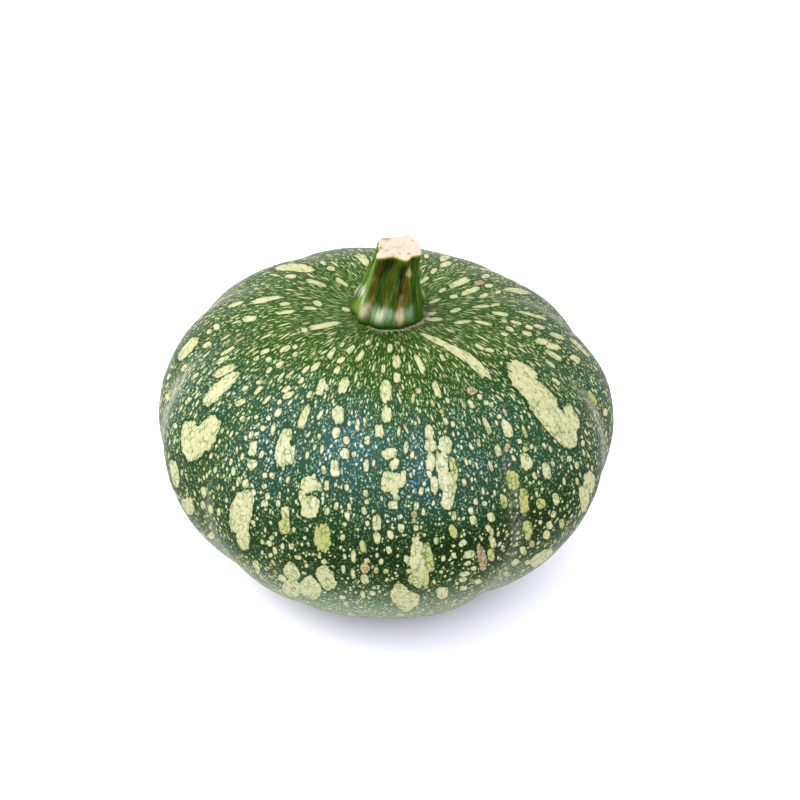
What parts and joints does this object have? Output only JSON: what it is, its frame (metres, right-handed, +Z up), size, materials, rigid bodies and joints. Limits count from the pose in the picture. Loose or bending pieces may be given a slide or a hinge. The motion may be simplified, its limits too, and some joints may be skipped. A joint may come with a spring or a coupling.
{
  "type": "kabocha squash",
  "caption": "Squat, round winter squash with shallow uneven ribs, green speckled skin and a short five-angled stem; rests on its blossom end.",
  "frame": {"origin": "middle of the flat spot that the fruit rests on", "axes": "+Z up along the fruit's axis towards the stem; -Y faces the side shown in the picture; the stem leans towards +X"},
  "size_m": [0.1792, 0.1783, 0.1389],
  "materials": {
    "squash_skin": "waxy dark green skin with cream-green blotches and fine speckles",
    "squash_stem": "ridged olive-green stalk with corky tan ridges and a pale dry cut"
  },
  "bodies": {
    "root": {"fruit": "squash_skin", "stem": "squash_stem"}
  },
  "joints": []
}
